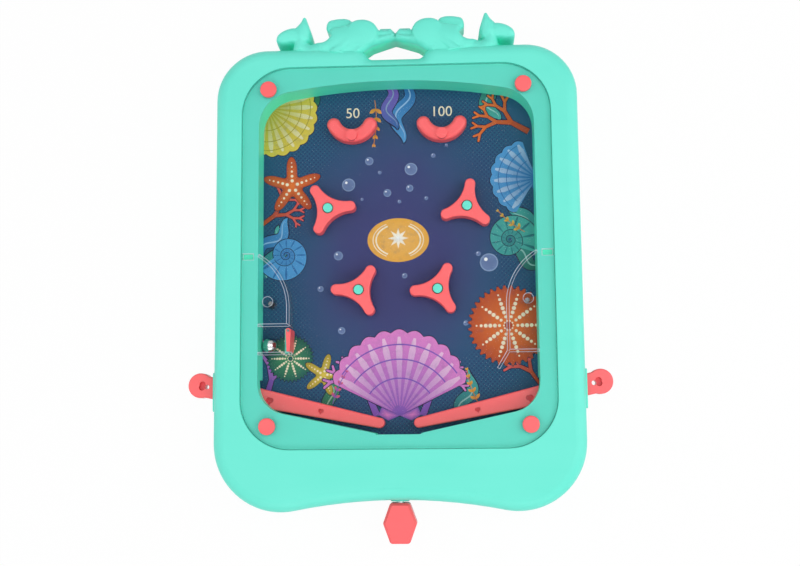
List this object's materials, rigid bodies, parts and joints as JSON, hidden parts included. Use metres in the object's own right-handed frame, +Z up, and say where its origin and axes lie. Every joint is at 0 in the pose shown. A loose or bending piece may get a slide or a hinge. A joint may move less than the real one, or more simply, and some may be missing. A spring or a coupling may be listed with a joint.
{
  "type": "tabletop pinball game",
  "caption": "Flat tabletop pinball toy: moulded case with dolphin crest, clear cover, lever flippers, spring plunger, spinners, catch cups and a folding stand.",
  "frame": {"origin": "centre of the base under the feet, midway between the plunger knob's end and the crest's top", "axes": "+X to the player's right, +Y from the plunger towards the crest, +Z up out of the playfield"},
  "size_m": [0.2754, 0.3444, 0.0398],
  "materials": {
    "mint": "satin moulded, pale sea green",
    "mint_inner": "moulded, pale sea green, not polished",
    "red": "satin moulded, coral red",
    "clear": "clear polished sheet",
    "print": "printed card with a varnished face",
    "ball": "polished steel",
    "steel": "plain drawn steel",
    "spring": "spring wire",
    "screw": "zinc plated",
    "feet": "moulded rubber"
  },
  "bodies": {
    "case": {"front_frame": "mint", "back_shell": "mint", "dolphin_crest": "mint", "clear_cover": "clear", "cover_caps": "red", "playfield_board": "print", "playfield_tray": "mint_inner", "spinner_posts": "mint", "left_catch_cup": "red", "right_catch_cup": "red", "flipper_pins": "steel", "left_flipper_spring": "spring", "right_flipper_spring": "spring", "plunger_bush": "mint_inner", "plunger_spring": "spring", "gate_pin": "steel", "cover_screws": "screw", "tray_screws": "screw", "shell_screws": "screw", "rubber_feet": "feet", "stand_pin": "steel"},
    "spinner_upper_left_body": {"spinner_upper_left": "red"},
    "spinner_upper_right_body": {"spinner_upper_right": "red"},
    "spinner_lower_left_body": {"spinner_lower_left": "red"},
    "spinner_lower_right_body": {"spinner_lower_right": "red"},
    "left_flipper_body": {"left_flipper": "red"},
    "right_flipper_body": {"right_flipper": "red"},
    "plunger": {"plunger_knob": "red", "plunger_rod": "steel", "plunger_striker": "red"},
    "gate": {"ball_gate": "red"},
    "ball": {"steel_ball": "ball"},
    "stand": {"prop_stand": "mint"}
  },
  "joints": [
    {"name": "spinner_upper_left_spin", "type": "hinge", "parent": "case", "child": "spinner_upper_left_body", "pos_m": [-0.04592, 0.04539, 0.02], "axis": [0, 0, 1], "continuous": true},
    {"name": "spinner_upper_right_spin", "type": "hinge", "parent": "case", "child": "spinner_upper_right_body", "pos_m": [0.04592, 0.04539, 0.02], "axis": [0, 0, 1], "continuous": true},
    {"name": "spinner_lower_left_spin", "type": "hinge", "parent": "case", "child": "spinner_lower_left_body", "pos_m": [-0.0259, -0.00927, 0.02], "axis": [0, 0, 1], "continuous": true},
    {"name": "spinner_lower_right_spin", "type": "hinge", "parent": "case", "child": "spinner_lower_right_body", "pos_m": [0.0259, -0.00927, 0.02], "axis": [0, 0, 1], "continuous": true},
    {"name": "left_flipper_swing", "type": "hinge", "parent": "case", "child": "left_flipper_body", "pos_m": [-0.103, -0.07644, 0.0208], "axis": [0, 0, 1], "range_deg": [0, 22], "stiffness_Nm_per_rad": 0.08, "springref_deg": -8.59},
    {"name": "right_flipper_swing", "type": "hinge", "parent": "case", "child": "right_flipper_body", "pos_m": [0.103, -0.07644, 0.0208], "axis": [0, 0, -1], "range_deg": [0, 22], "stiffness_Nm_per_rad": 0.08, "springref_deg": -8.59},
    {"name": "plunger_pull", "type": "slide", "parent": "case", "child": "plunger", "axis": [0, -1, 0], "range_m": [0, 0.018], "stiffness_N_per_m": 200, "springref_m": -0.004, "deforming": ["plunger_spring"]},
    {"name": "gate_swing", "type": "hinge", "parent": "case", "child": "gate", "pos_m": [-0.0708, -0.03614, 0.025], "axis": [0, 0, 1], "range_deg": [0, 70]},
    {"name": "ball_roll", "type": "slide", "parent": "case", "child": "ball", "axis": [1, 0, 0], "range_m": [0, 0.0056]},
    {"name": "stand_fold", "type": "hinge", "parent": "case", "child": "stand", "pos_m": [0, 0.11276, 0.0049], "axis": [1, 0, 0], "range_deg": [0, 85]}
  ]
}
